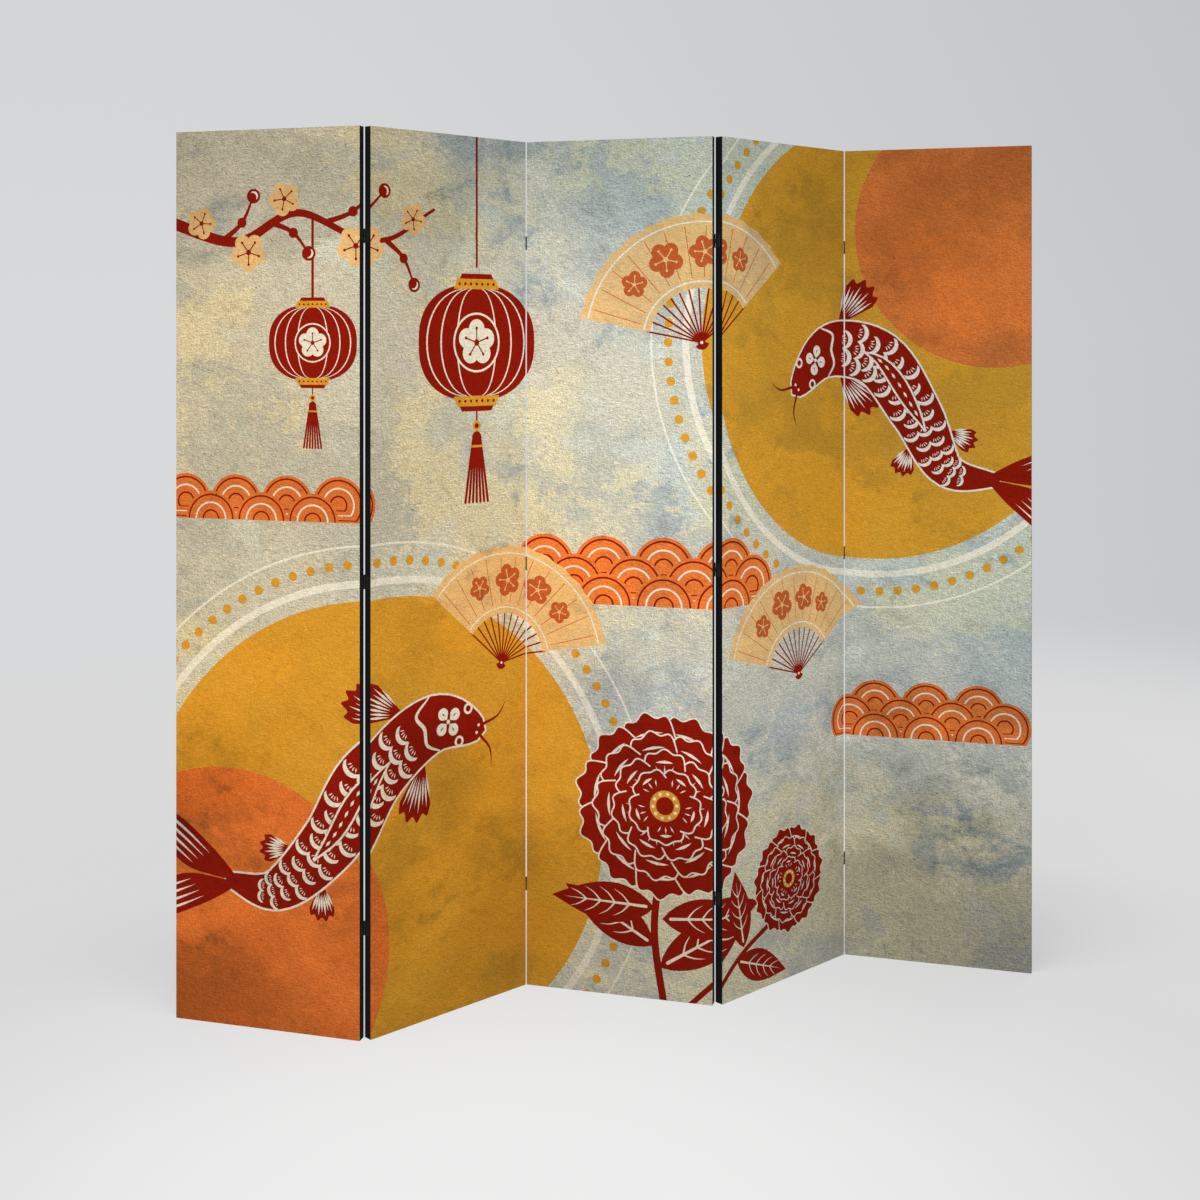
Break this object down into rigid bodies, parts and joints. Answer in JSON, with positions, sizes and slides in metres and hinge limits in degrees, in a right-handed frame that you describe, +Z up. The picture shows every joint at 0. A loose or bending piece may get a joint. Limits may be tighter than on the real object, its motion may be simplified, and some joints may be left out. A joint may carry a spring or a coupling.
{
  "type": "folding screen",
  "caption": "Free-standing folding screen of hinged tall flat panels with a printed canvas front, black cloth back and black edges, set up in a zigzag.",
  "frame": {"origin": "on the floor, under the middle of the standing screen's outline", "axes": "+X along the screen from panel 1 to panel 5, +Y towards the black back, +Z up; the printed side faces -Y"},
  "size_m": [1.6112, 0.1948, 1.6],
  "materials": {
    "frame_wood": "planed pine",
    "printed_canvas": "matte printed canvas in cream, red, gold and orange",
    "black_cloth": "matte black non-woven cloth",
    "black_steel": "satin black",
    "staple_wire": "zinc-coated wire"
  },
  "bodies": {
    "panel_1": {"panel_1_stile_left": "frame_wood", "panel_1_stile_right": "frame_wood", "panel_1_end_rails": "frame_wood", "panel_1_middle_rail": "frame_wood", "panel_1_print_sheet": "printed_canvas", "panel_1_back_cloth": "black_cloth", "panel_1_edge_strips": "black_cloth", "panel_1_staples": "staple_wire", "panel_1_screws": "black_steel", "fold_1_leaves_left": "black_steel", "fold_1_pins": "black_steel"},
    "panel_2": {"panel_2_stile_left": "frame_wood", "panel_2_stile_right": "frame_wood", "panel_2_end_rails": "frame_wood", "panel_2_middle_rail": "frame_wood", "panel_2_print_sheet": "printed_canvas", "panel_2_back_cloth": "black_cloth", "panel_2_edge_strips": "black_cloth", "panel_2_staples": "staple_wire", "panel_2_screws": "black_steel", "fold_1_leaves_right": "black_steel", "fold_2_leaves_left": "black_steel", "fold_2_pins": "black_steel"},
    "panel_3": {"panel_3_stile_left": "frame_wood", "panel_3_stile_right": "frame_wood", "panel_3_end_rails": "frame_wood", "panel_3_middle_rail": "frame_wood", "panel_3_print_sheet": "printed_canvas", "panel_3_back_cloth": "black_cloth", "panel_3_edge_strips": "black_cloth", "panel_3_staples": "staple_wire", "panel_3_screws": "black_steel", "fold_2_leaves_right": "black_steel", "fold_3_leaves_left": "black_steel", "fold_3_pins": "black_steel"},
    "panel_4": {"panel_4_stile_left": "frame_wood", "panel_4_stile_right": "frame_wood", "panel_4_end_rails": "frame_wood", "panel_4_middle_rail": "frame_wood", "panel_4_print_sheet": "printed_canvas", "panel_4_back_cloth": "black_cloth", "panel_4_edge_strips": "black_cloth", "panel_4_staples": "staple_wire", "panel_4_screws": "black_steel", "fold_3_leaves_right": "black_steel", "fold_4_leaves_left": "black_steel", "fold_4_pins": "black_steel"},
    "panel_5": {"panel_5_stile_left": "frame_wood", "panel_5_stile_right": "frame_wood", "panel_5_end_rails": "frame_wood", "panel_5_middle_rail": "frame_wood", "panel_5_print_sheet": "printed_canvas", "panel_5_back_cloth": "black_cloth", "panel_5_edge_strips": "black_cloth", "panel_5_staples": "staple_wire", "panel_5_screws": "black_steel", "fold_4_leaves_right": "black_steel"}
  },
  "joints": [
    {"name": "fold_2", "type": "hinge", "parent": "panel_3", "child": "panel_2", "pos_m": [-0.16137, 0.0826, 0.8], "axis": [0, 0, 1], "range_deg": [-60, 117]},
    {"name": "fold_1", "type": "hinge", "parent": "panel_2", "child": "panel_1", "pos_m": [-0.48411, -0.0826, 0.8], "axis": [0, 0, -1], "range_deg": [-60, 120]},
    {"name": "fold_3", "type": "hinge", "parent": "panel_3", "child": "panel_4", "pos_m": [0.16137, -0.0826, 0.8], "axis": [0, 0, 1], "range_deg": [-60, 117]},
    {"name": "fold_4", "type": "hinge", "parent": "panel_4", "child": "panel_5", "pos_m": [0.48411, 0.0826, 0.8], "axis": [0, 0, -1], "range_deg": [-60, 120]}
  ]
}
